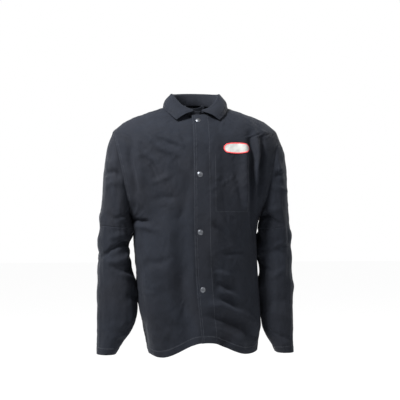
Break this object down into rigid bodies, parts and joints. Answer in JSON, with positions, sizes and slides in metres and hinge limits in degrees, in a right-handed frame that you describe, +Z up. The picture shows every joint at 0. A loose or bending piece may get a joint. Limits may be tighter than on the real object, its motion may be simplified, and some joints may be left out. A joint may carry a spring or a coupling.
{
  "type": "welding jacket",
  "caption": "Hip-length snap-front welding jacket of dark flame-resistant woven cotton with a fold-down collar, long sleeves and snapped cuffs; it is hollow.",
  "frame": {"origin": "middle of the neck opening, level with the inner ends of the shoulder seams", "axes": "+X to the wearer's left, -Y to the wearer's front, +Z up"},
  "size_m": [0.5682, 0.2686, 0.7482],
  "materials": {
    "shell_cloth": "matte twill",
    "inner_cloth": "matte twill, inner side",
    "snap_metal": "gunmetal plated",
    "snap_inner": "nickel plated",
    "patch": "white twill with a red stitched border",
    "label": "plain woven tape"
  },
  "bodies": {
    "torso": {"back_panel": "shell_cloth", "care_label": "label", "chest_patch": "patch", "collar_fall": "shell_cloth", "collar_stand": "shell_cloth", "front_snap_1_cap": "snap_metal", "front_snap_1_post": "snap_inner", "front_snap_1_socket": "snap_inner", "front_snap_1_stud": "snap_metal", "front_snap_2_post": "snap_inner", "front_snap_2_stud": "snap_metal", "front_snap_3_post": "snap_inner", "front_snap_3_stud": "snap_metal", "front_snap_4_post": "snap_inner", "front_snap_4_stud": "snap_metal", "hanger_loop": "inner_cloth", "inner_pocket": "inner_cloth", "left_facing_top": "inner_cloth", "left_front_side": "shell_cloth", "neck_label": "label", "right_front_facing": "inner_cloth", "right_front_panel": "shell_cloth"},
    "left_front": {"left_front_flap": "shell_cloth", "left_facing_flap": "inner_cloth", "front_snap_2_cap": "snap_metal", "front_snap_2_socket": "snap_inner", "front_snap_3_cap": "snap_metal", "front_snap_3_socket": "snap_inner", "front_snap_4_cap": "snap_metal", "front_snap_4_socket": "snap_inner"},
    "left_collar": {"left_collar_point": "shell_cloth"},
    "right_collar": {"right_collar_point": "shell_cloth"},
    "left_sleeve": {"left_sleeve_upper": "shell_cloth"},
    "left_forearm": {"left_sleeve_lower": "shell_cloth", "left_cuff_hem": "inner_cloth", "left_cuff_snap_studs": "snap_metal", "left_cuff_snap_posts": "snap_inner"},
    "left_cuff": {"left_cuff_fold": "shell_cloth", "left_cuff_snap_cap": "snap_metal", "left_cuff_snap_socket": "snap_inner"},
    "right_sleeve": {"right_sleeve_upper": "shell_cloth"},
    "right_forearm": {"right_sleeve_lower": "shell_cloth", "right_cuff_hem": "inner_cloth", "right_cuff_snap_studs": "snap_metal", "right_cuff_snap_posts": "snap_inner"},
    "right_cuff": {"right_cuff_fold": "shell_cloth", "right_cuff_snap_cap": "snap_metal", "right_cuff_snap_socket": "snap_inner"}
  },
  "joints": [
    {"name": "left_front_open", "type": "hinge", "parent": "torso", "child": "left_front", "pos_m": [0.0515, -0.1425, -0.383], "axis": [-0.2074, -0.0318, 0.9777], "range_deg": [0, 110]},
    {"name": "left_collar_turn", "type": "hinge", "parent": "torso", "child": "left_collar", "pos_m": [0.02909, -0.06039, -0.00261], "axis": [-0.8224, -0.3666, -0.4351], "range_deg": [0, 100]},
    {"name": "right_collar_turn", "type": "hinge", "parent": "torso", "child": "right_collar", "pos_m": [-0.02909, -0.06039, -0.00261], "axis": [-0.8224, 0.3666, 0.4351], "range_deg": [0, 100]},
    {"name": "left_shoulder_lift", "type": "hinge", "parent": "torso", "child": "left_sleeve", "pos_m": [0.238, 0, -0.074], "axis": [0, -1, 0], "range_deg": [0, 30]},
    {"name": "left_elbow_bend", "type": "hinge", "parent": "left_sleeve", "child": "left_forearm", "pos_m": [0.235, -0.066, -0.404], "axis": [-1, 0, 0], "range_deg": [0, 90]},
    {"name": "left_cuff_open", "type": "hinge", "parent": "left_forearm", "child": "left_cuff", "pos_m": [0.21682, 0.00629, -0.677], "axis": [-0.462, 0.1763, 0.8692], "range_deg": [0, 100]},
    {"name": "right_shoulder_lift", "type": "hinge", "parent": "torso", "child": "right_sleeve", "pos_m": [-0.238, 0, -0.074], "axis": [0, 1, 0], "range_deg": [0, 30]},
    {"name": "right_elbow_bend", "type": "hinge", "parent": "right_sleeve", "child": "right_forearm", "pos_m": [-0.235, -0.066, -0.404], "axis": [-1, 0, 0], "range_deg": [0, 90]},
    {"name": "right_cuff_open", "type": "hinge", "parent": "right_forearm", "child": "right_cuff", "pos_m": [-0.20919, 0.00629, -0.677], "axis": [-0.5462, -0.1665, -0.8209], "range_deg": [0, 100]}
  ]
}
